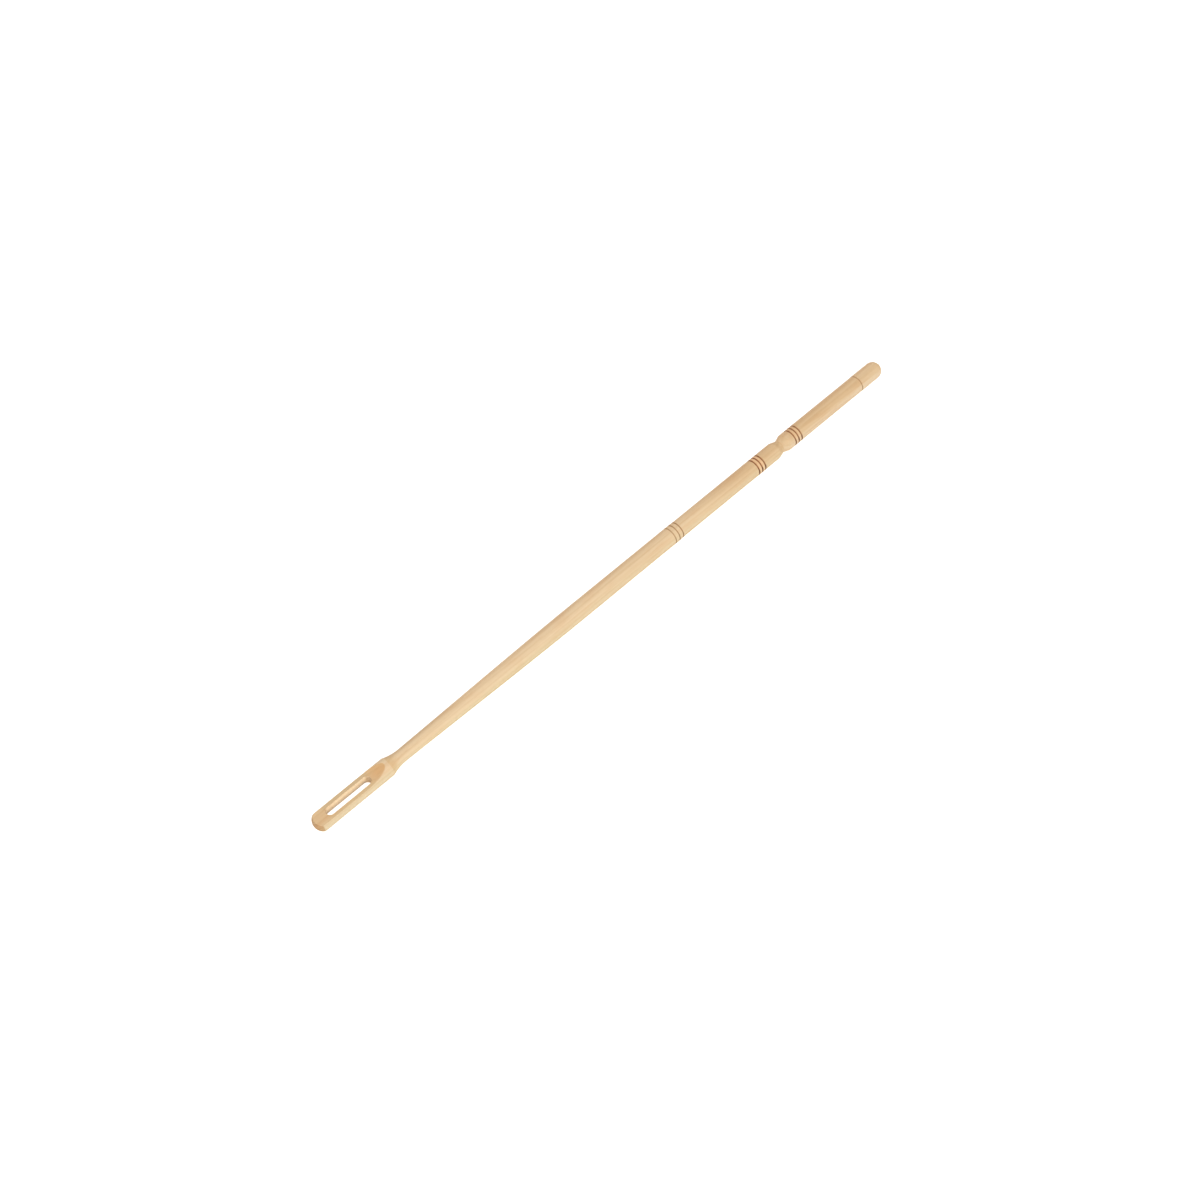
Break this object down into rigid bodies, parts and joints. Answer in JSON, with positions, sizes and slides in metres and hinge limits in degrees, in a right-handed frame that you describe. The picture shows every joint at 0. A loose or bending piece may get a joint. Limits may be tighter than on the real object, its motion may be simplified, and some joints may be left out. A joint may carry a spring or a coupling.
{
  "type": "flute cleaning rod",
  "caption": "Turned pale-wood flute cleaning rod with a slotted cloth eye, a tapered shaft, grooved ring groups, a waisted grip and a rounded tip with a head-cork gauge line.",
  "frame": {"origin": "on the rod's axis, halfway between the nose of the eye and the rounded tip", "axes": "+X along the rod towards the handle's rounded tip, +Z out of the eye's upper flat, +Y completes the right-handed set and lies in the plane of the flats"},
  "size_m": [0.3544, 0.0088, 0.0088],
  "materials": {
    "shaft_wood": "fine-sanded pale maple with a thin satin seal, scorched lines in the dark ring grooves",
    "handle_wood": "fine-sanded pale maple with a thin satin seal, a shade warmer than the shaft, scorched lines in the ring grooves"
  },
  "bodies": {
    "root": {"shaft": "shaft_wood", "handle": "handle_wood"}
  },
  "joints": []
}
